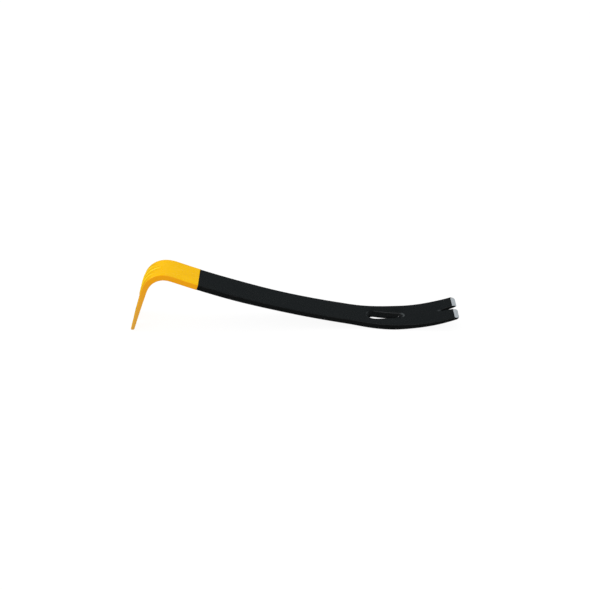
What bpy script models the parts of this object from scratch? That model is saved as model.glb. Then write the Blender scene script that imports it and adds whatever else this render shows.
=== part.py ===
"""Flat utility pry bar: one forged steel bar, a black lacquer skin and a yellow dipped skin.

The bar is made the way the real one is. A flat blank is laid out first: x runs along the
steel from the hook's tip to the claw's tip, y across the width and z through the thickness.
The blank gets its flared ends, V notches, nail slot and eased edges while it is flat. The
two coats are skins round the same blank. Every piece is then cut at the same stations and
bent along one spine: straight hook leg, tight heel, long shallow shank and upturned claw.

The finished bar stands on the hook's tip and on the belly before the claw. The origin is
under the middle of its box, +X points to the claw, +Y across the width and +Z up.
All lengths below are in millimetres, and MM turns them into metres.
"""

import math

import bmesh
import bpy
import numpy as np
from mathutils import Matrix, Vector

MM = 0.001

# ---- side view: heading of the spine in degrees at a distance along the steel --------
LENGTH = 368.4          # along the steel, from hook tip to claw tip
LEG = 44.7              # straight part of the hook's leg
HEEL_END = 77.2         # the heel's bend ends here
SHANK_END = 247.2       # the shank's long shallow curve ends here
CLAW_START = 266.7      # the claw end starts to turn up
LEG_HEADING = 72.4
HEEL_HEADING = -21.0
SHANK_HEADING = -10.0
CLAW_HEADING = 20.4
EASE = 9.0              # each change of curvature is eased over this length

# ---- thickness over the lacquer, at a distance along the steel ----------------------
THICKNESS = ((0.0, 2.8), (22.0, 3.5), (42.0, 5.3), (60.7, 5.9), (82.0, 5.5), (104.0, 5.5),
             (135.0, 5.6), (155.0, 5.4), (175.0, 5.1), (195.0, 4.9), (235.0, 4.9),
             (250.0, 5.0), (263.0, 5.1), (283.0, 5.6), (309.0, 5.5), (323.0, 4.7),
             (334.0, 4.1), (LENGTH, 2.9))

# ---- width over the lacquer ---------------------------------------------------------
SHANK_WIDTH = 35.3
HOOK_WIDTH = 43.9
CLAW_WIDTH = 44.45      # 1-3/4 in
SLOT_SWELL = 6.5       # the bar swells this much where it is wide enough for the slot

# ---- claws --------------------------------------------------------------------------
NOTCH_HALF_MOUTH = 3.9
NOTCH_APEX = 21.5       # where the two straight walls of the V would meet
NOTCH_ROOT_RADIUS = 1.2
TINE_CORNER_RADIUS = 4.0
TINE_INNER_RADIUS = 0.9
BEVEL_LENGTH = 3.9      # ground face at the end of each tine
TIP_EDGE = 0.55         # thickness left at the very edge
HOOK_BEVEL = 1.8        # the hook's tips are only broken on the inside
HOOK_EDGE = 1.7
BARE_END = 0.9          # the last of the steel is bare all round

# ---- teardrop nail slot: (centre, radius) of its wide and of its narrow end ---------
SLOT_TOP = ((284.7, 8.6), (310.7, 4.8))
SLOT_MIDDLE = ((284.4, 5.6), (307.6, 2.1))
SLOT_BOTTOM = ((284.4, 4.8), (306.4, 1.7))

# ---- three forged ribs over the heel ------------------------------------------------
RIBS = ((-9.0, 63.0), (0.0, 70.0), (9.0, 63.0))     # across, where the rib ends
RIB_HALF_WIDTH = 2.0
RIB_HEIGHT = 0.75
RIB_START, RIB_END = 32.2, 70.0
RIB_RUNOUT = 5.0

# ---- coats --------------------------------------------------------------------------
LACQUER = 0.20          # black skin
GAP = 0.10              # air modelled between skin and steel
DIP_PROUD = 0.25        # the yellow dip stands this much over the lacquer
BORDER = 104.4          # the dip ends here
COAT_GAP = 0.06
SKIN = LACQUER + GAP    # the steel lies this far under the lacquer's surface

BLANK = 6.0             # thickness of the flat blank, before it is drawn down
EDGE = 0.75             # eased long edges

BLACK_RGBA = (0.0130, 0.0160, 0.0170, 1.0)
YELLOW_RGBA = (0.8963, 0.4910, 0.0060, 1.0)
STEEL_RGBA = (0.50, 0.52, 0.54, 1.0)


def smoothstep(a, b, s):
    u = np.clip((np.asarray(s, float) - a) / (b - a), 0.0, 1.0)
    return u * u * (3.0 - 2.0 * u)


def width_at(s):
    """Width over the lacquer: flared hook, parallel shank, swell at the slot, claw."""
    w = SHANK_WIDTH + (HOOK_WIDTH - SHANK_WIDTH) * (1.0 - smoothstep(10.0, 54.0, s))
    w = w + 1.0 * smoothstep(68.0, 82.0, s) * (1.0 - smoothstep(138.0, 192.0, s))
    w = w + SLOT_SWELL * smoothstep(258.0, 310.0, s)
    return w + (CLAW_WIDTH - SHANK_WIDTH - SLOT_SWELL) * smoothstep(312.0, 350.0, s)


def running_mean(values, window):
    half = window // 2
    padded = np.concatenate([np.full(half, values[0]), values, np.full(half, values[-1])])
    return np.convolve(padded, np.ones(2 * half + 1) / (2 * half + 1), "valid")


class Spine:
    """The bent centre line, finely integrated, with the bar's thickness along it."""

    STEP = 0.1

    def __init__(self):
        count = int(round((LENGTH + 2.0) / self.STEP)) + 1
        self.s = np.linspace(-1.0, LENGTH + 1.0, count)
        heading = np.interp(
            self.s,
            (0.0, LEG, HEEL_END, SHANK_END, CLAW_START, LENGTH),
            (LEG_HEADING, LEG_HEADING, HEEL_HEADING, SHANK_HEADING, SHANK_HEADING - 0.2,
             CLAW_HEADING))
        window = int(round(EASE / self.STEP))
        heading = running_mean(running_mean(heading, window), window)
        a = np.radians(heading)
        mid = 0.5 * (a[1:] + a[:-1])
        step = self.s[1] - self.s[0]
        self.x = np.concatenate([[0.0], np.cumsum(np.cos(mid) * step)])
        self.z = np.concatenate([[0.0], np.cumsum(np.sin(mid) * step)])
        self.heading = a
        where, thick = zip(*THICKNESS)
        self.half = 0.5 * running_mean(np.interp(self.s, where, thick), 2 * window)
        self._stand()

    def _stand(self):
        """Turns and moves the spine until hook tip and belly both touch z = 0."""
        inside = (self.s >= 0.0) & (self.s <= LENGTH)
        for _ in range(12):
            coat = np.where(self.s < BORDER, DIP_PROUD, 0.0)
            lower = self.half + coat
            bx = self.x + np.sin(self.heading) * lower
            bz = self.z - np.cos(self.heading) * lower
            tx = self.x - np.sin(self.heading) * lower
            tz = self.z + np.cos(self.heading) * lower
            first = np.flatnonzero(inside)[0]
            belly = [i for i in np.flatnonzero(inside) if self.s[i] > 200.0]
            low = belly[int(np.argmin(bz[belly]))]
            # the hook's tip is ground from inside, so it stands on the edge that is left
            face = self.half[first] - SKIN
            tips = [(self.x[first] - np.sin(self.heading[first]) * n,
                     self.z[first] + np.cos(self.heading[first]) * n)
                    for n in (face - HOOK_EDGE, face)]
            tip = min(tips, key=lambda p: p[1])
            turn = -math.atan2(bz[low] - tip[1], bx[low] - tip[0])
            c, s = math.cos(turn), math.sin(turn)
            self.x, self.z = c * self.x - s * self.z, s * self.x + c * self.z
            self.heading = self.heading + turn
        self.z = self.z - (s * tip[0] + c * tip[1])
        xs = np.concatenate([bx[inside], tx[inside]])
        self.x = self.x - 0.5 * (xs.min() + xs.max())

    def at(self, s):
        return (np.interp(s, self.s, self.x), np.interp(s, self.s, self.z),
                np.interp(s, self.s, self.heading), np.interp(s, self.s, self.half))


def stations():
    """Cross-cuts of the blank, close together where the spine bends tightly."""
    cuts = list(np.arange(6.0, 38.0, 7.5)) + list(np.arange(38.0, 86.0, 2.0))
    cuts += list(np.arange(88.0, 103.0, 4.0)) + list(np.arange(108.0, 250.0, 8.0))
    cuts += list(np.arange(252.0, 350.0, 4.0)) + [353.0, 358.0]
    cuts += [HOOK_BEVEL, BORDER, LENGTH - BEVEL_LENGTH, BARE_END, LENGTH - BARE_END, 0.0,
             LENGTH, -0.8, LENGTH + 0.8]
    return sorted(set(round(float(c), 4) for c in cuts))


def fillet(corners, steps):
    """Rounds the corners (x, y, radius) of a closed outline."""
    points = []
    total = len(corners)
    for i, (x, y, r) in enumerate(corners):
        here = np.array((x, y))
        if r <= 0.0:
            points.append(here)
            continue
        a = np.array(corners[i - 1][:2]) - here
        b = np.array(corners[(i + 1) % total][:2]) - here
        a, b = a / np.linalg.norm(a), b / np.linalg.norm(b)
        half = 0.5 * math.acos(float(np.clip(a @ b, -1.0, 1.0)))
        centre = here + (a + b) / np.linalg.norm(a + b) * (r / math.sin(half))
        p, q = here + a * (r / math.tan(half)) - centre, here + b * (r / math.tan(half)) - centre
        sweep = math.atan2(p[0] * q[1] - p[1] * q[0], p @ q)
        for k in range(steps + 1):
            t = sweep * k / steps
            c, s = math.cos(t), math.sin(t)
            points.append(centre + np.array((c * p[0] - s * p[1], s * p[0] + c * p[1])))
    return points


def outline(cuts):
    """The flat blank's plan, counter-clockwise, with both V notches."""
    ends = 0.3
    left, right = -ends, LENGTH + ends
    inner = [s for s in cuts if 10.0 < s < LENGTH - 10.0]
    lower = [(s, -0.5 * float(width_at(s)), 0.0) for s in inner]
    upper = [(s, 0.5 * float(width_at(s)), 0.0) for s in reversed(inner)]
    hw_l, hw_r = 0.5 * HOOK_WIDTH, 0.5 * CLAW_WIDTH
    mouth, apex = NOTCH_HALF_MOUTH, NOTCH_APEX
    corners = [(left, -hw_l, TINE_CORNER_RADIUS)] + lower
    corners += [(right, -hw_r, TINE_CORNER_RADIUS), (right, -mouth, TINE_INNER_RADIUS),
                (right - apex, 0.0, NOTCH_ROOT_RADIUS), (right, mouth, TINE_INNER_RADIUS),
                (right, hw_r, TINE_CORNER_RADIUS)] + upper
    corners += [(left, hw_l, TINE_CORNER_RADIUS), (left, mouth, TINE_INNER_RADIUS),
                (left + apex, 0.0, NOTCH_ROOT_RADIUS), (left, -mouth, TINE_INNER_RADIUS)]
    return np.array(fillet(corners, 5))


def offset_outline(points, distance):
    """Moves each point of a counter-clockwise outline outward by a distance."""
    before, after = np.roll(points, 1, 0), np.roll(points, -1, 0)
    a = points - before
    b = after - points
    na = np.stack([a[:, 1], -a[:, 0]], 1) / np.linalg.norm(a, axis=1)[:, None]
    nb = np.stack([b[:, 1], -b[:, 0]], 1) / np.linalg.norm(b, axis=1)[:, None]
    n = na + nb
    n = n / (0.5 * (n * n).sum(1))[:, None]
    return points + n * distance


def slot_loop(ends, shrink, steps=10):
    """A closed teardrop round two circles on the blank's middle line."""
    (x0, r0), (x1, r1) = ends
    r0, r1 = r0 - shrink, r1 - shrink
    lean = math.asin((r0 - r1) / (x1 - x0))
    loop = []
    for k in range(steps + 1):
        t = -(math.pi / 2 - lean) + (math.pi - 2 * lean) * k / steps
        loop.append((x1 + r1 * math.cos(t), r1 * math.sin(t)))
    for k in range(steps + 1):
        t = math.pi / 2 - lean + (math.pi + 2 * lean) * k / steps
        loop.append((x0 + r0 * math.cos(t), r0 * math.sin(t)))
    return loop


def loft(name, loops):
    """A closed solid through loops of equally many points, from the lowest up."""
    bm = bmesh.new()
    rows = [[bm.verts.new((x, y, z)) for x, y in loop] for loop, z in loops]
    count = len(rows[0])
    bm.faces.new(list(reversed(rows[0])))
    bm.faces.new(rows[-1])
    for low, high in zip(rows[:-1], rows[1:]):
        for i in range(count):
            j = (i + 1) % count
            bm.faces.new((low[i], low[j], high[j], high[i]))
    bmesh.ops.recalc_face_normals(bm, faces=bm.faces)
    mesh = bpy.data.meshes.new(name)
    bm.to_mesh(mesh)
    bm.free()
    ob = bpy.data.objects.new(name, mesh)
    bpy.context.scene.collection.objects.link(ob)
    return ob


def box(name, low, high):
    (x0, y0, z0), (x1, y1, z1) = low, high
    ring = [(x0, y0), (x1, y0), (x1, y1), (x0, y1)]
    return loft(name, [(ring, z0), (ring, z1)])


def cut(ob, cutter, operation="DIFFERENCE"):
    """Applies one exact Boolean to the flat blank and removes the cutter."""
    cutter.hide_render = True
    cutter.display_type = "WIRE"
    m = ob.modifiers.new("cut", "BOOLEAN")
    m.operation = operation
    m.solver = "EXACT"
    m.object = cutter
    bpy.context.view_layer.update()
    result = bpy.data.meshes.new_from_object(
        ob.evaluated_get(bpy.context.evaluated_depsgraph_get()))
    ob.modifiers.remove(m)
    old = ob.data
    ob.data = result
    bpy.data.meshes.remove(old)
    mesh = cutter.data
    bpy.data.objects.remove(cutter)
    bpy.data.meshes.remove(mesh)


def blank(name, plan, grow):
    """The whole flat bar, grown by a distance over the lacquer's surface."""
    half = 0.5 * BLANK + grow
    ease = EDGE + grow * (2.0 - math.sqrt(2.0))
    outer = offset_outline(plan, grow)
    inset = offset_outline(plan, grow - ease)
    ob = loft(name, [(inset, -half), (outer, -half + ease), (outer, half - ease), (inset, half)])
    slot = [(slot_loop(SLOT_BOTTOM, grow), -half - 1.0), (slot_loop(SLOT_BOTTOM, grow), -half),
            (slot_loop(SLOT_MIDDLE, grow), grow), (slot_loop(SLOT_TOP, grow), half),
            (slot_loop(SLOT_TOP, grow), half + 1.0)]
    cut(ob, loft("slot_cutter", slot))
    return ob


def rib_height(s, y):
    """Height of the forged ribs over the heel's outer face."""
    total = 0.0
    for middle, end in RIBS:
        run = smoothstep(RIB_START, RIB_START + RIB_RUNOUT, s) * (
            1.0 - smoothstep(end - RIB_RUNOUT, end, s))
        u = np.clip(abs(y - middle) / RIB_HALF_WIDTH, 0.0, 1.0)
        total += float(run) * (1.0 - float(u * u)) ** 2
    return RIB_HEIGHT * total


def bend(ob, spine, cuts):
    """Cuts a flat piece at the stations, draws it down to thickness and bends it."""
    bm = bmesh.new()
    bm.from_mesh(ob.data)
    for s in cuts:
        bmesh.ops.bisect_plane(bm, geom=bm.verts[:] + bm.edges[:] + bm.faces[:], dist=1e-4,
                               plane_co=(s, 0, 0), plane_no=(1, 0, 0))
    half = 0.5 * BLANK - SKIN
    lines = sorted(m + k * RIB_HALF_WIDTH for m, _ in RIBS for k in (-1.0, -0.55, 0.0, 0.55, 1.0))
    for y in lines:
        faces = [f for f in bm.faces
                 if RIB_START - 2.5 < f.calc_center_median().x < RIB_END + 0.5
                 and min(v.co.z for v in f.verts) > half - 0.5]
        geom = faces + list({e for f in faces for e in f.edges}) + list(
            {v for f in faces for v in f.verts})
        bmesh.ops.bisect_plane(bm, geom=geom, dist=1e-4, plane_co=(0, y, 0), plane_no=(0, 1, 0))
    bmesh.ops.remove_doubles(bm, verts=bm.verts[:], dist=2e-4)
    # the ribbed field is split along one diagonal on every piece, so skins stay nested
    for f in [f for f in bm.faces if len(f.verts) == 4
              and RIB_START - 2.5 < f.calc_center_median().x < RIB_END + 0.5
              and min(v.co.z for v in f.verts) > half - 0.5]:
        order = sorted(f.verts, key=lambda v: v.co.x + v.co.y)
        if not any(order[0] in e.verts and order[-1] in e.verts for e in f.edges):
            bmesh.utils.face_split(f, order[0], order[-1])

    knots = np.array(cuts)
    x, z, heading, thick = spine.at(knots)
    upper = thick - SKIN
    lower = -(thick - SKIN)
    claw = np.clip((knots - (LENGTH - BEVEL_LENGTH)) / BEVEL_LENGTH, 0.0, None)
    hook = np.clip((HOOK_BEVEL - knots) / HOOK_BEVEL, 0.0, None)
    upper = upper - claw * (upper[-1] - lower[-1] - TIP_EDGE)
    lower = lower + hook * (upper[0] - lower[0] - HOOK_EDGE)
    sin, cos = np.sin(heading), np.cos(heading)
    for v in bm.verts:
        s, y, n = v.co
        if n > half:
            n_out = float(np.interp(s, knots, upper)) + (n - half)
        elif n < -half:
            n_out = float(np.interp(s, knots, lower)) + (n + half)
        else:
            low, high = float(np.interp(s, knots, lower)), float(np.interp(s, knots, upper))
            n_out = low + (high - low) * (n + half) / (2.0 * half)
        if n > half - 0.5:
            n_out += rib_height(s, y)
        px = float(np.interp(s, knots, x)) - float(np.interp(s, knots, sin)) * n_out
        pz = float(np.interp(s, knots, z)) + float(np.interp(s, knots, cos)) * n_out
        v.co = Vector((px * MM, y * MM, pz * MM))
    bmesh.ops.recalc_face_normals(bm, faces=bm.faces)
    bm.to_mesh(ob.data)
    bm.free()
    ob.data.shade_smooth()
    ob.data.set_sharp_from_angle(angle=math.radians(32.0))
    ob.data.update()


def settle(pieces):
    """Puts the origin exactly under the middle of the whole bar's box."""
    points = [v.co.copy() for ob in pieces for v in ob.data.vertices]
    low = Vector([min(p[i] for p in points) for i in range(3)])
    high = Vector([max(p[i] for p in points) for i in range(3)])
    shift = Vector((-0.5 * (low.x + high.x), 0.0, -low.z))
    for ob in pieces:
        ob.data.transform(Matrix.Translation(shift))
        ob.data.update()


def finish(ob, name, rgba, roughness, metallic):
    material = bpy.data.materials.new(name)
    material.use_nodes = True
    shader = material.node_tree.nodes["Principled BSDF"]
    shader.inputs["Base Color"].default_value = rgba
    shader.inputs["Roughness"].default_value = roughness
    shader.inputs["Metallic"].default_value = metallic
    material.diffuse_color = rgba
    ob.data.materials.clear()
    ob.data.materials.append(material)


def main():
    for ob in list(bpy.data.objects):
        bpy.data.objects.remove(ob, do_unlink=True)

    spine = Spine()
    cuts = stations()
    plan = outline(cuts)
    wide, tall = 40.0, 10.0
    steel_face = 0.5 * BLANK - SKIN

    # the forging: the whole blank, at its own size under the coats
    steel = blank("steel_bar", plan, -SKIN)

    # black lacquer: a skin from the border to the bare ends of the claw's tines
    black = blank("black_coat", plan, 0.0)
    cut(black, box("hook_half", (-20.0, -wide, -tall), (BORDER + COAT_GAP, wide, tall)))
    cut(black, box("bare_tip", (LENGTH - BARE_END, -wide, -tall), (LENGTH + 20.0, wide, tall)))
    cut(black, blank("steel_room", plan, -LACQUER))
    cut(black, box("ground_face", (LENGTH - BEVEL_LENGTH, -wide, steel_face),
                   (LENGTH + 20.0, wide, tall)))

    # yellow dip: thicker, proud of the lacquer, bare at the hook's tips
    yellow = blank("yellow_coat", plan, DIP_PROUD)
    cut(yellow, box("shank_half", (BORDER, -wide, -tall), (LENGTH + 20.0, wide, tall)))
    cut(yellow, box("bare_hook", (-20.0, -wide, -tall), (BARE_END, wide, tall)))
    cut(yellow, blank("steel_room", plan, -LACQUER))
    cut(yellow, box("ground_hook", (-20.0, -wide, -tall), (HOOK_BEVEL, wide, -steel_face)))

    for ob in (steel, black, yellow):
        bend(ob, spine, cuts)
    settle((steel, black, yellow))
    finish(steel, "steel", STEEL_RGBA, 0.34, 1.0)
    finish(black, "black_lacquer", BLACK_RGBA, 0.30, 0.0)
    finish(yellow, "yellow_dip", YELLOW_RGBA, 0.32, 0.0)


main()
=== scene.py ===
"""Flat utility pry bar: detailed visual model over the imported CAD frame.

Each piece is laid out flat in millimetres (x along the steel from the hook's tip, y across,
z through the thickness), cut to shape there, and then drawn down and bent along the spine.
"""

import math

import bmesh
import bpy
import numpy as np
from mathutils import Matrix, Vector


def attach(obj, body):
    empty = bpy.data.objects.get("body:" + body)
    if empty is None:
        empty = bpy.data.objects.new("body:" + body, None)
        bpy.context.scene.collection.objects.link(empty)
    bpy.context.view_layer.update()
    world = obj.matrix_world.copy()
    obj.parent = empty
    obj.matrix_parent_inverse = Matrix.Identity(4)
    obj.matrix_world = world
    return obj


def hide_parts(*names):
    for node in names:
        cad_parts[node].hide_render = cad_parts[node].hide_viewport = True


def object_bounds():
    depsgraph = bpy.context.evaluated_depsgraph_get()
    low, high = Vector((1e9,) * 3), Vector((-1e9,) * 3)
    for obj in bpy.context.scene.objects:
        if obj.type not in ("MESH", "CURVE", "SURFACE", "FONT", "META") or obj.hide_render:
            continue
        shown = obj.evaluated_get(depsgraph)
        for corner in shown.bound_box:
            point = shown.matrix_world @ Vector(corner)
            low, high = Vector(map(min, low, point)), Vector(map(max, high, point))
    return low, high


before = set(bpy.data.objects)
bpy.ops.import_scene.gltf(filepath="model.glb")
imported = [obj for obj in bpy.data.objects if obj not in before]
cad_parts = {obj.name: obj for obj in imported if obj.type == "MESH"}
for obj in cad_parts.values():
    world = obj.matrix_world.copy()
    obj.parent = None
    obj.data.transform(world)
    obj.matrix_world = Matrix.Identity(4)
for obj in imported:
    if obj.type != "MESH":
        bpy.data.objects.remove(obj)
cad_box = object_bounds()

MM = 0.001

# ---- side view ------------------------------------------------------------------------
LENGTH = 368.4
LEG = 44.7
HEEL_END = 77.2
SHANK_END = 247.2
CLAW_START = 266.7
LEG_HEADING = 72.4
HEEL_HEADING = -21.0
SHANK_HEADING = -10.0
CLAW_HEADING = 20.4
EASE = 9.0
THICKNESS = ((0.0, 2.8), (22.0, 3.5), (42.0, 5.3), (60.7, 5.9), (82.0, 5.5), (104.0, 5.5),
             (135.0, 5.6), (155.0, 5.4), (175.0, 5.1), (195.0, 4.9), (235.0, 4.9),
             (250.0, 5.0), (263.0, 5.1), (283.0, 5.6), (309.0, 5.5), (323.0, 4.7),
             (334.0, 4.1), (LENGTH, 2.9))

# ---- plan -----------------------------------------------------------------------------
SHANK_WIDTH = 35.3
HOOK_WIDTH = 43.9
CLAW_WIDTH = 44.45
SLOT_SWELL = 6.5
NOTCH_HALF_MOUTH = 3.9
NOTCH_APEX = 21.5
NOTCH_ROOT_RADIUS = 1.2
TINE_CORNER_RADIUS = 4.0
TINE_INNER_RADIUS = 0.9
BEVEL_LENGTH = 3.9
TIP_EDGE = 0.55
HOOK_BEVEL = 1.8
HOOK_EDGE = 1.7
BARE_END = 0.9
SLOT_TOP = ((284.7, 8.6), (310.7, 4.8))
SLOT_MIDDLE = ((284.4, 5.6), (307.6, 2.1))
SLOT_BOTTOM = ((284.4, 4.8), (306.4, 1.7))

# ---- forged ribs: (across, where the rib ends on the heel) ------------------------------
RIBS = ((-9.0, 63.0), (0.0, 70.0), (9.0, 63.0))
RIB_HALF_WIDTH = 2.0
RIB_HEIGHT = 0.75
RIB_START = 32.2
RIB_RUNOUT = 5.0

# ---- coats ----------------------------------------------------------------------------
LACQUER = 0.20
GAP = 0.10
DIP_PROUD = 0.25
BORDER = 104.4
COAT_GAP = 0.06
SKIN = LACQUER + GAP
LIP = 0.9               # the dip's edge rolls off over this length
BLANK = 6.0
ROUND = 0.85            # rolled long edges
ROUND_STEPS = 6
HOLD = 0.35             # a flat margin that keeps the broad faces' shading flat


def smoothstep(a, b, s):
    u = np.clip((np.asarray(s, float) - a) / (b - a), 0.0, 1.0)
    return u * u * (3.0 - 2.0 * u)


def width_at(s):
    w = SHANK_WIDTH + (HOOK_WIDTH - SHANK_WIDTH) * (1.0 - smoothstep(10.0, 54.0, s))
    w = w + 1.0 * smoothstep(68.0, 82.0, s) * (1.0 - smoothstep(138.0, 192.0, s))
    w = w + SLOT_SWELL * smoothstep(258.0, 310.0, s)
    return w + (CLAW_WIDTH - SHANK_WIDTH - SLOT_SWELL) * smoothstep(312.0, 350.0, s)


def running_mean(values, window):
    half = window // 2
    padded = np.concatenate([np.full(half, values[0]), values, np.full(half, values[-1])])
    return np.convolve(padded, np.ones(2 * half + 1) / (2 * half + 1), "valid")


class Spine:
    """The bent centre line, finely integrated, with the bar's thickness along it."""

    STEP = 0.1

    def __init__(self):
        count = int(round((LENGTH + 2.0) / self.STEP)) + 1
        self.s = np.linspace(-1.0, LENGTH + 1.0, count)
        heading = np.interp(
            self.s,
            (0.0, LEG, HEEL_END, SHANK_END, CLAW_START, LENGTH),
            (LEG_HEADING, LEG_HEADING, HEEL_HEADING, SHANK_HEADING, SHANK_HEADING - 0.2,
             CLAW_HEADING))
        window = int(round(EASE / self.STEP))
        heading = running_mean(running_mean(heading, window), window)
        a = np.radians(heading)
        mid = 0.5 * (a[1:] + a[:-1])
        step = self.s[1] - self.s[0]
        self.x = np.concatenate([[0.0], np.cumsum(np.cos(mid) * step)])
        self.z = np.concatenate([[0.0], np.cumsum(np.sin(mid) * step)])
        self.heading = a
        where, thick = zip(*THICKNESS)
        self.half = 0.5 * running_mean(np.interp(self.s, where, thick), 2 * window)
        self._stand()

    def _stand(self):
        inside = (self.s >= 0.0) & (self.s <= LENGTH)
        for _ in range(12):
            coat = np.where(self.s < BORDER, DIP_PROUD, 0.0)
            lower = self.half + coat
            bx = self.x + np.sin(self.heading) * lower
            bz = self.z - np.cos(self.heading) * lower
            tx = self.x - np.sin(self.heading) * lower
            first = np.flatnonzero(inside)[0]
            belly = [i for i in np.flatnonzero(inside) if self.s[i] > 200.0]
            low = belly[int(np.argmin(bz[belly]))]
            face = self.half[first] - SKIN
            tips = [(self.x[first] - np.sin(self.heading[first]) * n,
                     self.z[first] + np.cos(self.heading[first]) * n)
                    for n in (face - HOOK_EDGE, face)]
            tip = min(tips, key=lambda p: p[1])
            turn = -math.atan2(bz[low] - tip[1], bx[low] - tip[0])
            c, s = math.cos(turn), math.sin(turn)
            self.x, self.z = c * self.x - s * self.z, s * self.x + c * self.z
            self.heading = self.heading + turn
        self.z = self.z - (s * tip[0] + c * tip[1])
        xs = np.concatenate([bx[inside], tx[inside]])
        self.x = self.x - 0.5 * (xs.min() + xs.max())

    def at(self, s):
        return (np.interp(s, self.s, self.x), np.interp(s, self.s, self.z),
                np.interp(s, self.s, self.heading), np.interp(s, self.s, self.half))


def stations():
    """Cross-cuts, as close together as the spine's bend asks for."""
    cuts = list(np.arange(5.5, 31.0, 2.5)) + list(np.arange(31.6, 84.0, 0.8))
    cuts += list(np.arange(84.5, 102.8, 1.5)) + list(np.arange(107.0, 252.0, 3.0))
    cuts += list(np.arange(252.5, LENGTH - BEVEL_LENGTH - 0.5, 1.25))
    cuts += [BORDER - LIP * k for k in (1.0, 0.72, 0.46, 0.24, 0.09, 0.0)]
    cuts += [BORDER + COAT_GAP, 0.0, LENGTH, -0.8, LENGTH + 0.8, BARE_END, LENGTH - BARE_END]
    cuts += [HOOK_BEVEL, LENGTH - BEVEL_LENGTH, LENGTH - BEVEL_LENGTH + 1.5]
    return sorted(set(round(float(c), 4) for c in cuts))


def fillet(corners):
    """Rounds the corners (x, y, radius, steps) of a closed outline."""
    points = []
    total = len(corners)
    for i, (x, y, r, steps) in enumerate(corners):
        here = np.array((x, y))
        if steps == 0 or r <= 0.0:
            points += [here] * (steps + 1)
            continue
        a = np.array(corners[i - 1][:2]) - here
        b = np.array(corners[(i + 1) % total][:2]) - here
        a, b = a / np.linalg.norm(a), b / np.linalg.norm(b)
        half = 0.5 * math.acos(float(np.clip(a @ b, -1.0, 1.0)))
        centre = here + (a + b) / np.linalg.norm(a + b) * (r / math.sin(half))
        p, q = here + a * (r / math.tan(half)) - centre, here + b * (r / math.tan(half)) - centre
        sweep = math.atan2(p[0] * q[1] - p[1] * q[0], p @ q)
        for k in range(steps + 1):
            t = sweep * k / steps
            c, s = math.cos(t), math.sin(t)
            points.append(centre + np.array((c * p[0] - s * p[1], s * p[0] + c * p[1])))
    return points


def outline():
    """Corners (x, y, radius, steps) of the flat blank's plan, counter-clockwise."""
    ends = 0.3
    left, right = -ends, LENGTH + ends
    inner = list(np.arange(9.0, 58.0, 2.0)) + [62.0, 68.0] + list(np.arange(70.0, 84.0, 2.0))
    inner += [90.0, 98.0, 110.0, 125.0] + list(np.arange(140.0, 200.0, 5.0)) + [225.0, 250.0]
    inner += list(np.arange(256.0, 355.0, 3.0))
    lower = [(s, -0.5 * float(width_at(s)), 0.0, 0) for s in inner]
    upper = [(s, 0.5 * float(width_at(s)), 0.0, 0) for s in reversed(inner)]
    hw_l, hw_r = 0.5 * HOOK_WIDTH, 0.5 * CLAW_WIDTH
    mouth, apex = NOTCH_HALF_MOUTH, NOTCH_APEX
    outer, nick, root = (TINE_CORNER_RADIUS, 12), (TINE_INNER_RADIUS, 6), (NOTCH_ROOT_RADIUS, 14)
    corners = [(left, -hw_l, *outer)] + lower
    corners += [(right, -hw_r, *outer), (right, -mouth, *nick), (right - apex, 0.0, *root),
                (right, mouth, *nick), (right, hw_r, *outer)] + upper
    corners += [(left, hw_l, *outer), (left, mouth, *nick), (left + apex, 0.0, *root),
                (left, -mouth, *nick)]
    return corners


def offset_outline(corners, distance):
    """The outline moved outward by a distance. A corner that shrinks to nothing turns sharp."""
    points = np.array([c[:2] for c in corners])
    before, after = np.roll(points, 1, 0), np.roll(points, -1, 0)
    a = points - before
    b = after - points
    na = np.stack([a[:, 1], -a[:, 0]], 1) / np.linalg.norm(a, axis=1)[:, None]
    nb = np.stack([b[:, 1], -b[:, 0]], 1) / np.linalg.norm(b, axis=1)[:, None]
    n = na + nb
    n = n / (0.5 * (n * n).sum(1))[:, None]
    moved = points + n * distance
    convex = np.sign(a[:, 0] * b[:, 1] - a[:, 1] * b[:, 0])
    return fillet([(x, y, max(r + distance * turn, 0.0), steps)
                   for (x, y), (_, _, r, steps), turn in zip(moved, corners, convex)])


def slot_loop(ends, shrink, steps=26):
    """A closed teardrop round two circles on the blank's middle line."""
    (x0, r0), (x1, r1) = ends
    r0, r1 = r0 - shrink, r1 - shrink
    lean = math.asin((r0 - r1) / (x1 - x0))
    loop = []
    for k in range(steps + 1):
        t = -(math.pi / 2 - lean) + (math.pi - 2 * lean) * k / steps
        loop.append((x1 + r1 * math.cos(t), r1 * math.sin(t)))
    for k in range(steps + 1):
        t = math.pi / 2 - lean + (math.pi + 2 * lean) * k / steps
        loop.append((x0 + r0 * math.cos(t), r0 * math.sin(t)))
    return loop


def slot_ends(a, b, t):
    return tuple((pa[0] + (pb[0] - pa[0]) * t, pa[1] + (pb[1] - pa[1]) * t)
                 for pa, pb in zip(a, b))


def loft(name, loops):
    """A closed solid through loops of equally many points, from the lowest up."""
    bm = bmesh.new()
    rows = [[bm.verts.new((x, y, z)) for x, y in loop] for loop, z in loops]
    count = len(rows[0])
    bm.faces.new(list(reversed(rows[0])))
    bm.faces.new(rows[-1])
    for low, high in zip(rows[:-1], rows[1:]):
        for i in range(count):
            j = (i + 1) % count
            bm.faces.new((low[i], low[j], high[j], high[i]))
    bmesh.ops.remove_doubles(bm, verts=bm.verts[:], dist=1e-4)
    bmesh.ops.recalc_face_normals(bm, faces=bm.faces)
    mesh = bpy.data.meshes.new(name)
    bm.to_mesh(mesh)
    bm.free()
    ob = bpy.data.objects.new(name, mesh)
    bpy.context.scene.collection.objects.link(ob)
    return ob


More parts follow.
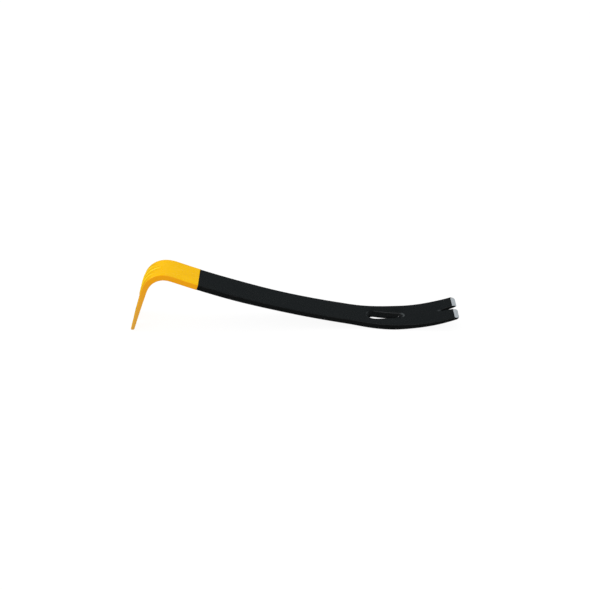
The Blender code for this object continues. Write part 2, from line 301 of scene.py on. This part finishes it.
def box(name, low, high):
    (x0, y0, z0), (x1, y1, z1) = low, high
    ring = [(x0, y0), (x1, y0), (x1, y1), (x0, y1)]
    return loft(name, [(ring, z0), (ring, z1)])


def cut(ob, cutter):
    """Applies one exact Boolean difference and removes the cutter."""
    m = ob.modifiers.new("cut", "BOOLEAN")
    m.operation = "DIFFERENCE"
    m.solver = "EXACT"
    m.object = cutter
    bpy.context.view_layer.update()
    result = bpy.data.meshes.new_from_object(
        ob.evaluated_get(bpy.context.evaluated_depsgraph_get()))
    ob.modifiers.remove(m)
    old = ob.data
    ob.data = result
    bpy.data.meshes.remove(old)
    mesh = cutter.data
    bpy.data.objects.remove(cutter)
    bpy.data.meshes.remove(mesh)


def blank(name, plan, grow):
    """The whole flat bar with rolled edges, grown by a distance over the lacquer."""
    half = 0.5 * BLANK + grow
    r = ROUND + grow
    loops = [(offset_outline(plan, grow - r - HOLD), -half)]
    for k in range(ROUND_STEPS + 1):
        t = 0.5 * math.pi * k / ROUND_STEPS
        loops.append((offset_outline(plan, grow - r + r * math.sin(t)), -half + r - r * math.cos(t)))
    for k in range(ROUND_STEPS, -1, -1):
        t = 0.5 * math.pi * k / ROUND_STEPS
        loops.append((offset_outline(plan, grow - r + r * math.sin(t)), half - r + r * math.cos(t)))
    loops.append((offset_outline(plan, grow - r - HOLD), half))
    ob = loft(name, loops)
    # teardrop slot: short straight wall below, long sloped wall above with a rolled rim
    slot = [(slot_loop(SLOT_BOTTOM, grow - 0.45), -half - 1.0),
            (slot_loop(SLOT_BOTTOM, grow - 0.45), -half),
            (slot_loop(SLOT_BOTTOM, grow - 0.13), -half + 0.2),
            (slot_loop(SLOT_BOTTOM, grow), -half + 0.65),
            (slot_loop(SLOT_MIDDLE, grow), grow)]
    for k in range(1, 9):
        u = math.sin(0.5 * math.pi * k / 8)
        f = 0.75 * u + 0.25 * (1.0 - math.sqrt(max(0.0, 1.0 - u * u)))
        slot.append((slot_loop(slot_ends(SLOT_MIDDLE, SLOT_TOP, f), grow),
                     grow + (half - grow) * u))
    slot.append((slot_loop(SLOT_TOP, grow), half + 1.0))
    cut(ob, loft("slot_cutter", slot))
    return ob


def rib_height(s, y):
    """Height of the forged ribs over the heel's outer face."""
    total = 0.0
    for middle, end in RIBS:
        run = smoothstep(RIB_START, RIB_START + RIB_RUNOUT, s) * (
            1.0 - smoothstep(end - RIB_RUNOUT, end, s))
        u = np.clip(abs(y - middle) / RIB_HALF_WIDTH, 0.0, 1.0)
        total += float(run) * (1.0 - u * u) ** 2
    return RIB_HEIGHT * float(total)


def roll_lip(s, y, n):
    """Brings the dip's outer surface down to the lacquer over its last stretch."""
    d = BORDER - s
    if d >= LIP:
        return y, n
    fall = DIP_PROUD * (1.0 - math.sqrt(max(0.0, 1.0 - (1.0 - max(d, 0.0) / LIP) ** 2)))
    cy, cn = 0.5 * float(width_at(s)) - ROUND, 0.5 * BLANK - ROUND
    ay, an = abs(y) - cy, abs(n) - cn
    if ay > 0 and an > 0:
        length = math.hypot(ay, an)
        direction, outside = (ay / length, an / length), length - ROUND
    elif ay > an:
        direction, outside = (1.0, 0.0), ay - ROUND
    else:
        direction, outside = (0.0, 1.0), an - ROUND
    if outside < 0.06:
        return y, n
    return (y - math.copysign(direction[0] * fall, y), n - math.copysign(direction[1] * fall, n))


def bend(ob, spine, cuts, lip=False):
    """Cuts a flat piece at the stations, draws it down to thickness and bends it."""
    bm = bmesh.new()
    bm.from_mesh(ob.data)
    low_x = min(v.co.x for v in bm.verts)
    high_x = max(v.co.x for v in bm.verts)
    for s in cuts:
        if low_x < s < high_x:
            bmesh.ops.bisect_plane(bm, geom=bm.verts[:] + bm.edges[:] + bm.faces[:], dist=1e-4,
                                   plane_co=(s, 0, 0), plane_no=(1, 0, 0))
    half = 0.5 * BLANK - SKIN
    top = 0.5 * BLANK + (DIP_PROUD if lip else 0.0)
    if low_x < 60.0:
        # the ribbed field of the outer face
        reach = RIBS[-1][0] + RIB_HALF_WIDTH
        for y in np.arange(-reach, reach + 0.01, RIB_HALF_WIDTH / 5):
            faces = [f for f in bm.faces
                     if RIB_START - 1.0 < f.calc_center_median().x < 73.0
                     and min(v.co.z for v in f.verts) > half - 0.05]
            geom = faces + list({e for f in faces for e in f.edges}) + list(
                {v for f in faces for v in f.verts})
            bmesh.ops.bisect_plane(bm, geom=geom, dist=1e-4, plane_co=(0, float(y), 0),
                                   plane_no=(0, 1, 0))
    bmesh.ops.remove_doubles(bm, verts=bm.verts[:], dist=2e-4)

    flat = bm.verts.layers.float_vector.new("flat")
    wall = bm.verts.layers.float.new("wall")
    knots = np.array(cuts)
    x, z, heading, thick = spine.at(knots)
    upper = thick - SKIN
    lower = -(thick - SKIN)
    claw = np.clip((knots - (LENGTH - BEVEL_LENGTH)) / BEVEL_LENGTH, 0.0, None)
    hook = np.clip((HOOK_BEVEL - knots) / HOOK_BEVEL, 0.0, None)
    at_end = [int(np.argmin(abs(knots - LENGTH))), int(np.argmin(abs(knots)))]
    upper = upper - claw * (upper[at_end[0]] - lower[at_end[0]] - TIP_EDGE)
    lower = lower + hook * (upper[at_end[1]] - lower[at_end[1]] - HOOK_EDGE)
    sin, cos = np.sin(heading), np.cos(heading)
    for v in bm.verts:
        s, y, n = v.co
        rise = (0.5 * BLANK + (DIP_PROUD if lip else 0.0)) - abs(n)
        v[wall] = math.acos(float(np.clip(1.0 - rise / ROUND, 0.0, 1.0))) / (0.5 * math.pi)
        v[flat] = Vector((s * MM, y * MM, n * MM))
        if lip:
            y, n = roll_lip(s, y, n)
        if n > half:
            n_out = float(np.interp(s, knots, upper)) + (n - half)
        elif n < -half:
            n_out = float(np.interp(s, knots, lower)) + (n + half)
        else:
            a, b = float(np.interp(s, knots, lower)), float(np.interp(s, knots, upper))
            n_out = a + (b - a) * (n + half) / (2.0 * half)
        if n > half - 0.05:
            n_out += rib_height(s, y)
        px = float(np.interp(s, knots, x)) - float(np.interp(s, knots, sin)) * n_out
        pz = float(np.interp(s, knots, z)) + float(np.interp(s, knots, cos)) * n_out
        v.co = Vector((px * MM, y * MM, pz * MM))
    bmesh.ops.recalc_face_normals(bm, faces=bm.faces)
    for e in bm.edges:
        s0, s1 = (v[flat].x / MM for v in e.verts)
        for line in (HOOK_BEVEL, LENGTH - BEVEL_LENGTH):
            if abs(s0 - line) < 0.02 and abs(s1 - line) < 0.02:
                e.smooth = False
        if len(e.link_faces) == 2 and e.calc_face_angle(0.0) > math.radians(34.0):
            e.smooth = False
    for f in bm.faces:
        f.smooth = True
    bm.to_mesh(ob.data)
    bm.free()
    ob.data.update()


def settle(pieces):
    """Sets the bar in the CAD's place: the CAD's box is centred on x and stands on z = 0."""
    low, high = cad_box
    points = [v.co for ob in pieces for v in ob.data.vertices]
    mine = (min(p.x for p in points), max(p.x for p in points), min(p.z for p in points))
    shift = Vector((0.5 * (low.x + high.x) - 0.5 * (mine[0] + mine[1]), 0.0, low.z - mine[2]))
    for ob in pieces:
        ob.data.transform(Matrix.Translation(shift))
        ob.data.update()


# ---- materials -------------------------------------------------------------------------

class Nodes:
    """A short way to write a node tree."""

    def __init__(self, name):
        self.material = bpy.data.materials.new(name)
        self.material.use_nodes = True
        self.tree = self.material.node_tree
        self.shader = self.tree.nodes["Principled BSDF"]

    def add(self, kind, **values):
        node = self.tree.nodes.new(kind)
        for key, value in values.items():
            setattr(node, key, value)
        return node

    def put(self, socket, value):
        if isinstance(value, bpy.types.NodeSocket):
            self.tree.links.new(value, socket)
        elif hasattr(socket.default_value, "__len__") and len(socket.default_value) == 4 \
                and len(value) == 3:
            socket.default_value = (*value, 1.0)
        else:
            socket.default_value = value

    def attribute(self, name):
        return self.add("ShaderNodeAttribute", attribute_name=name)

    def math(self, operation, a, b=None, c=None, clamp=False):
        node = self.add("ShaderNodeMath", operation=operation, use_clamp=clamp)
        for socket, value in zip(node.inputs, (a, b, c)):
            if value is not None:
                self.put(socket, value)
        return node.outputs[0]

    def ramp(self, value, low, high, to_low=0.0, to_high=1.0):
        node = self.add("ShaderNodeMapRange", interpolation_type="SMOOTHSTEP")
        for key, v in (("Value", value), ("From Min", low), ("From Max", high),
                       ("To Min", to_low), ("To Max", to_high)):
            self.put(node.inputs[key], v)
        return node.outputs["Result"]

    def noise(self, vector, scale, detail=3.0, roughness=0.5, distortion=0.0):
        node = self.add("ShaderNodeTexNoise")
        self.put(node.inputs["Vector"], vector)
        for key, v in (("Scale", scale), ("Detail", detail), ("Roughness", roughness),
                       ("Distortion", distortion)):
            self.put(node.inputs[key], v)
        return node.outputs["Fac"]

    def stretch(self, vector, scale):
        node = self.add("ShaderNodeMapping")
        self.put(node.inputs["Vector"], vector)
        self.put(node.inputs["Scale"], scale)
        return node.outputs["Vector"]

    def mix(self, factor, a, b):
        node = self.add("ShaderNodeMix", data_type="RGBA")
        self.put(node.inputs["Factor"], factor)
        self.put(node.inputs["A"], a)
        self.put(node.inputs["B"], b)
        return node.outputs["Result"]

    def bump(self, height, distance, normal=None, strength=1.0):
        node = self.add("ShaderNodeBump")
        self.put(node.inputs["Strength"], strength)
        self.put(node.inputs["Distance"], distance)
        self.put(node.inputs["Height"], height)
        if normal is not None:
            self.put(node.inputs["Normal"], normal)
        return node.outputs["Normal"]

    def finish(self, **inputs):
        for key, value in inputs.items():
            self.put(self.shader.inputs[key.replace("_", " ")], value)
        return self.material


def object_space(n):
    return n.add("ShaderNodeTexCoord").outputs["Object"]


def black_lacquer():
    """Baked semi-gloss black over a forged surface, thin and rubbed along the edges."""
    n = Nodes("black_lacquer")
    here = object_space(n)
    wall = n.attribute("wall").outputs["Fac"]
    edge = n.math("MULTIPLY", n.math("MULTIPLY", wall, 4.0), n.math("SUBTRACT", 1.0, wall))
    drift = n.noise(here, 38.0, 3.0, 0.55)
    grain = n.noise(here, 900.0, 2.0, 0.6)
    patch = n.noise(here, 260.0, 4.0, 0.65)
    rubbed = n.math("MULTIPLY", n.ramp(edge, 0.55, 1.0), n.ramp(patch, 0.42, 0.68), clamp=True)
    colour = n.mix(n.ramp(drift, 0.3, 0.7), (0.0034, 0.0042, 0.0044), (0.0048, 0.0056, 0.0058))
    colour = n.mix(n.math("MULTIPLY", rubbed, 0.5), colour, (0.016, 0.0165, 0.0165))
    # painted highlights: lighter lacquer at both ends of the slot's slope and at the claw notch's root
    # stands in for glints of light there
    flat = n.add("ShaderNodeSeparateXYZ")
    n.put(flat.inputs[0], n.attribute("flat").outputs["Vector"])
    s, y, up = flat.outputs["X"], flat.outputs["Y"], flat.outputs["Z"]

    def reach(centre):
        ds = n.math("SUBTRACT", s, centre * MM)
        return n.math("SQRT", n.math("ADD", n.math("MULTIPLY", ds, ds), n.math("MULTIPLY", y, y)))

    (x0, r0), (x1, r1) = SLOT_TOP
    slope = n.ramp(up, -0.0012, 0.0012)
    narrow_end_glint = n.math("MULTIPLY", n.ramp(s, (x1 - 0.6) * MM, (x1 + 2.2) * MM),
                    n.ramp(reach(x1), (r1 - 0.05) * MM, (r1 + 0.25) * MM, 1.0, 0.0))
    narrow_end_glint = n.math("MULTIPLY", narrow_end_glint, n.ramp(reach(x1), (r1 - 2.2) * MM, (r1 - 1.0) * MM))
    broad_end_glint = n.math("MULTIPLY", n.ramp(s, (x0 - 7.8) * MM, (x0 - 4.5) * MM, 0.4, 0.0),
                   n.ramp(reach(x0), (r0 - 0.05) * MM, (r0 + 0.25) * MM, 1.0, 0.0))
    root = LENGTH + 0.3 - NOTCH_APEX + 4.6
    notch_root_glint = n.ramp(reach(root - 1.2), 0.0007, 0.0024, 0.45, 0.0)
    slot_glint_paint = n.math("MULTIPLY", n.math("ADD", n.math("ADD", narrow_end_glint, broad_end_glint), notch_root_glint), slope, clamp=True)
    slot_glint_paint = n.math("MULTIPLY", slot_glint_paint, n.ramp(patch, 0.25, 0.60, 0.55, 1.0), clamp=True)
    # painted highlight mixed into the lacquer colour at the slot's ends and the notch root
    colour = n.mix(slot_glint_paint, colour, (0.062, 0.070, 0.072))
    speck = n.ramp(n.noise(here, 1500.0, 1.0, 0.5), 0.69, 0.78)
    colour = n.mix(n.math("MULTIPLY", speck, 0.35), colour, (0.012, 0.013, 0.0135))
    rough = n.ramp(drift, 0.25, 0.75, 0.22, 0.30)
    rough = n.math("ADD", rough, n.math("MULTIPLY", n.math("SUBTRACT", grain, 0.5), 0.10))
    rough = n.math("ADD", rough, n.math("MULTIPLY", rubbed, 0.08), clamp=True)
    forged = n.bump(n.noise(here, 70.0, 2.0, 0.4), 0.00020)
    peel = n.bump(n.noise(here, 520.0, 2.0, 0.5), 0.000022, forged)
    normal = n.bump(grain, 0.000006, peel)
    return n.finish(Base_Color=colour, Roughness=rough, Normal=normal, IOR=1.5)


def yellow_dip():
    """Thick glossy enamel: deeper orange down the sides, with a little pooling and drift."""
    n = Nodes("yellow_dip")
    here = object_space(n)
    wall = n.attribute("wall").outputs["Fac"]
    drift = n.noise(here, 45.0, 3.0, 0.5)
    pool = n.noise(here, 160.0, 3.0, 0.55)
    colour = n.mix(n.ramp(drift, 0.3, 0.7), (0.915, 0.490, 0.0008), (0.955, 0.535, 0.0015))
    side = n.math("MULTIPLY", n.ramp(wall, 0.30, 0.85), 0.92)
    colour = n.mix(side, colour, (0.930, 0.375, 0.0040))
    along = n.add("ShaderNodeSeparateXYZ")
    n.put(along.inputs[0], n.attribute("flat").outputs["Vector"])
    tan = n.math("MULTIPLY", n.math("MULTIPLY", n.ramp(along.outputs["X"], 0.0, 0.062, 0.85, 0.0), side),
                 n.ramp(drift, 0.2, 0.8, 0.85, 1.0))
    colour = n.mix(tan, colour, (0.700, 0.390, 0.075))
    # painted highlight along the ribs' crests and painted shade along their feet, laid over the ribs' real
    # geometry
    rib_crest_highlight, rib_foot_shade = 0.0, 0.0
    for middle, end in RIBS:
        run = n.math("MULTIPLY", n.ramp(along.outputs["X"], (RIB_START + 3.0) * MM, (RIB_START + 9.0) * MM),
                     n.ramp(along.outputs["X"], (end - 7.0) * MM, (end - 2.0) * MM, 1.0, 0.0))
        off = n.math("ABSOLUTE", n.math("SUBTRACT", along.outputs["Y"], middle * MM))
        beside = n.math("ABSOLUTE", n.math("SUBTRACT", off, 2.5 * MM))
        rib_crest_highlight = n.math("ADD", rib_crest_highlight, n.math("MULTIPLY", run, n.ramp(off, 0.8 * MM, 1.7 * MM, 1.0, 0.0)))
        rib_foot_shade = n.math("ADD", rib_foot_shade, n.math("MULTIPLY", run, n.ramp(beside, 0.4 * MM, 1.1 * MM, 1.0, 0.0)))
    outer = n.ramp(along.outputs["Z"], 0.0010, 0.0022)
    # painted highlight on the rib crests
    colour = n.mix(n.math("MULTIPLY", n.math("MULTIPLY", rib_crest_highlight, outer), 0.85, clamp=True), colour,
                   (0.990, 0.700, 0.020))
    # painted shade along the rib feet
    colour = n.mix(n.math("MULTIPLY", n.math("MULTIPLY", rib_foot_shade, outer), 0.70, clamp=True), colour,
                   (0.720, 0.370, 0.004))
    edge = n.math("MULTIPLY", n.math("MULTIPLY", wall, 4.0), n.math("SUBTRACT", 1.0, wall))
    worn = n.math("MULTIPLY", n.ramp(edge, 0.6, 1.0), n.ramp(pool, 0.45, 0.70), clamp=True)
    colour = n.mix(n.math("MULTIPLY", worn, 0.25), colour, (0.93, 0.60, 0.05))
    speck = n.ramp(n.noise(here, 1300.0, 1.0, 0.5), 0.70, 0.80)
    colour = n.mix(n.math("MULTIPLY", speck, 0.18), colour, (0.60, 0.27, 0.004))
    rough = n.ramp(pool, 0.25, 0.75, 0.20, 0.29)
    rough = n.math("ADD", rough, n.math("MULTIPLY", worn, 0.08), clamp=True)
    sag = n.bump(n.noise(here, 85.0, 2.0, 0.4), 0.00014)
    normal = n.bump(n.noise(here, 430.0, 2.0, 0.5), 0.000022, sag)
    return n.finish(Base_Color=colour, Roughness=rough, Normal=normal, IOR=1.5,
                    Specular_IOR_Level=0.12)


def ground_steel():
    """Bare steel, ground across the tips, with fine lines and a slight blue cast."""
    n = Nodes("ground_steel")
    flat = n.attribute("flat").outputs["Vector"]
    lines = n.noise(n.stretch(flat, (3600.0, 120.0, 600.0)), 1.0, 4.0, 0.6)
    fine = n.noise(n.stretch(flat, (9000.0, 260.0, 900.0)), 1.0, 2.0, 0.5)
    patch = n.noise(flat, 320.0, 3.0, 0.55)
    colour = n.mix(n.ramp(lines, 0.3, 0.7), (0.56, 0.61, 0.65), (0.76, 0.81, 0.84))
    colour = n.mix(n.math("MULTIPLY", n.ramp(patch, 0.45, 0.75), 0.35), colour, (0.40, 0.42, 0.43))
    rough = n.ramp(fine, 0.3, 0.7, 0.36, 0.52)
    normal = n.bump(lines, 0.000016)
    normal = n.bump(fine, 0.000006, normal)
    return n.finish(Base_Color=colour, Roughness=rough, Normal=normal, Metallic=0.40)


# ---- build ----------------------------------------------------------------------------

spine = Spine()
cuts = stations()
plan = outline()
wide, tall = 40.0, 10.0
steel_face = 0.5 * BLANK - SKIN

steel = blank("pry_steel", plan, -SKIN)

black = blank("pry_black", plan, 0.0)
cut(black, box("hook_half", (-20.0, -wide, -tall), (BORDER + COAT_GAP, wide, tall)))
cut(black, box("bare_tip", (LENGTH - BARE_END, -wide, -tall), (LENGTH + 20.0, wide, tall)))
cut(black, blank("steel_room", plan, -LACQUER))
cut(black, box("ground_face", (LENGTH - BEVEL_LENGTH, -wide, steel_face),
               (LENGTH + 20.0, wide, tall)))

yellow = blank("pry_yellow", plan, DIP_PROUD)
cut(yellow, box("shank_half", (BORDER, -wide, -tall), (LENGTH + 20.0, wide, tall)))
cut(yellow, box("bare_hook", (-20.0, -wide, -tall), (BARE_END, wide, tall)))
cut(yellow, blank("steel_room", plan, -LACQUER))
cut(yellow, box("ground_hook", (-20.0, -wide, -tall), (HOOK_BEVEL, wide, -steel_face)))

for ob in (steel, black, yellow):
    bend(ob, spine, cuts, lip=ob is yellow)
settle((steel, black, yellow))

# the finer curve stands a few micrometres over the coarser one's chords, so it is held in the box
low, high = (np.array(corner) for corner in cad_box)
for ob in (steel, black, yellow):
    for vertex in ob.data.vertices:
        vertex.co = np.clip(np.array(vertex.co), low, high)
    ob.data.update()

for ob, node, slot, material in (
        (steel, "steel_bar", "steel", ground_steel()),
        (black, "black_coat", "black_lacquer", black_lacquer()),
        (yellow, "yellow_coat", "yellow_dip", yellow_dip())):
    ob.data.materials.clear()
    ob.data.materials.append(material)
    for polygon in ob.data.polygons:
        polygon.material_index = 0
    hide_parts(node)
    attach(ob, "root")

# ---- stage ----------------------------------------------------------------------------

floor_mesh = bpy.data.meshes.new("studio_floor")
floor_bm = bmesh.new()
bmesh.ops.create_grid(floor_bm, x_segments=4, y_segments=4, size=6.0)
floor_bm.to_mesh(floor_mesh)
floor_bm.free()
floor = bpy.data.objects.new("studio_floor", floor_mesh)
floor.location = (0.0, 0.0, -0.0002)
bpy.context.scene.collection.objects.link(floor)

f = Nodes("studio_floor")
path = f.add("ShaderNodeLightPath")
f.finish(Base_Color=(0.10, 0.10, 0.10), Roughness=0.9, Specular_IOR_Level=0.0)


def glow(strength, colour=(1.0, 1.0, 1.0)):
    node = f.add("ShaderNodeEmission")
    f.put(node.inputs["Color"], colour)
    f.put(node.inputs["Strength"], strength)
    return node.outputs[0]


def either(factor, a, b):
    node = f.add("ShaderNodeMixShader")
    f.tree.links.new(factor, node.inputs[0])
    f.tree.links.new(a, node.inputs[1])
    f.tree.links.new(b, node.inputs[2])
    return node.outputs[0]


# what the camera sees: a lit floor that keeps a light contact shadow
both = f.add("ShaderNodeAddShader")
f.tree.links.new(f.shader.outputs[0], both.inputs[0])
f.tree.links.new(glow(0.93), both.inputs[1])
# what the bar sees: an even white bounce, and a dark table in its reflections
seen = either(path.outputs["Is Diffuse Ray"], both.outputs[0], glow(0.80))
seen = either(path.outputs["Is Glossy Ray"], seen, glow(0.03))
f.tree.links.new(seen, f.tree.nodes["Material Output"].inputs["Surface"])
floor_mesh.materials.append(f.material)

world = bpy.data.worlds.new("studio")
bpy.context.scene.world = world
world.use_nodes = True
w = world.node_tree
for node in list(w.nodes):
    w.nodes.remove(node)
out = w.nodes.new("ShaderNodeOutputWorld")
path = w.nodes.new("ShaderNodeLightPath")
coord = w.nodes.new("ShaderNodeTexCoord")
split = w.nodes.new("ShaderNodeSeparateXYZ")
w.links.new(coord.outputs["Generated"], split.inputs[0])
glossy = w.nodes.new("ShaderNodeValToRGB")
OVERHEAD = 2.6
stops = ((0.00, (0.010, 0.012, 0.013)), (0.14, (0.018, 0.022, 0.024)),
         (0.30, (0.078, 0.092, 0.099)), (0.50, (0.084, 0.099, 0.106)),
         (0.78, (0.080, 0.094, 0.100)), (0.86, (0.030, 0.034, 0.036)),
         (0.965, (0.060, 0.066, 0.068)), (1.0, (1.30, 1.36, 1.40)))
ramp = glossy.color_ramp
while len(ramp.elements) < len(stops):
    ramp.elements.new(0.5)
for element, (position, colour) in zip(ramp.elements, stops):
    element.position = position
    element.color = (*(c / OVERHEAD for c in colour), 1.0)
w.links.new(split.outputs["Z"], glossy.inputs["Fac"])
scaled = w.nodes.new("ShaderNodeVectorMath")
scaled.operation = "SCALE"
w.links.new(glossy.outputs["Color"], scaled.inputs[0])
scaled.inputs["Scale"].default_value = OVERHEAD


def choose(ray, a, b):
    node = w.nodes.new("ShaderNodeMix")
    node.data_type = "RGBA"
    w.links.new(path.outputs[ray], node.inputs["Factor"])
    for socket, value in ((node.inputs["A"], a), (node.inputs["B"], b)):
        if isinstance(value, bpy.types.NodeSocket):
            w.links.new(value, socket)
        else:
            socket.default_value = (value, value, value, 1.0)
    return node.outputs["Result"]


background = w.nodes.new("ShaderNodeBackground")
w.links.new(choose("Is Camera Ray", choose("Is Glossy Ray", 0.93, scaled.outputs["Vector"]), 1.1),
            background.inputs["Color"])
w.links.new(background.outputs[0], out.inputs["Surface"])


def softbox(name, location, target, size, watts, colour=(1.0, 1.0, 1.0)):
    data = bpy.data.lights.new(name, "AREA")
    data.shape = "RECTANGLE"
    data.size, data.size_y = size
    data.energy = watts
    data.color = colour
    ob = bpy.data.objects.new(name, data)
    ob.location = location
    ob.rotation_euler = (Vector(target) - Vector(location)).to_track_quat("-Z", "Y").to_euler()
    bpy.context.scene.collection.objects.link(ob)
    return ob


softbox("key", (-1.55, 0.22, 1.62), (-0.12, 0.0, 0.04), (0.50, 0.50), 11.0)

# ---- camera ---------------------------------------------------------------------------

camera = bpy.data.cameras.new("camera")
camera.sensor_width = 36.0
camera.lens = 1274.0 / 590.0 * 36.0
camera.clip_start, camera.clip_end = 0.05, 30.0
eye = bpy.data.objects.new("camera", camera)
bpy.context.scene.collection.objects.link(eye)
tilt = Matrix.Rotation(math.radians(63.0), 4, "X") @ Matrix.Rotation(math.radians(-0.0974), 4, "Z")
eye.matrix_world = Matrix.Translation((0.000352, -1.129600, 0.604065)) @ tilt
bpy.context.scene.camera = eye
bpy.context.scene.view_settings.view_transform = "Standard"
bpy.context.scene.view_settings.look = "None"
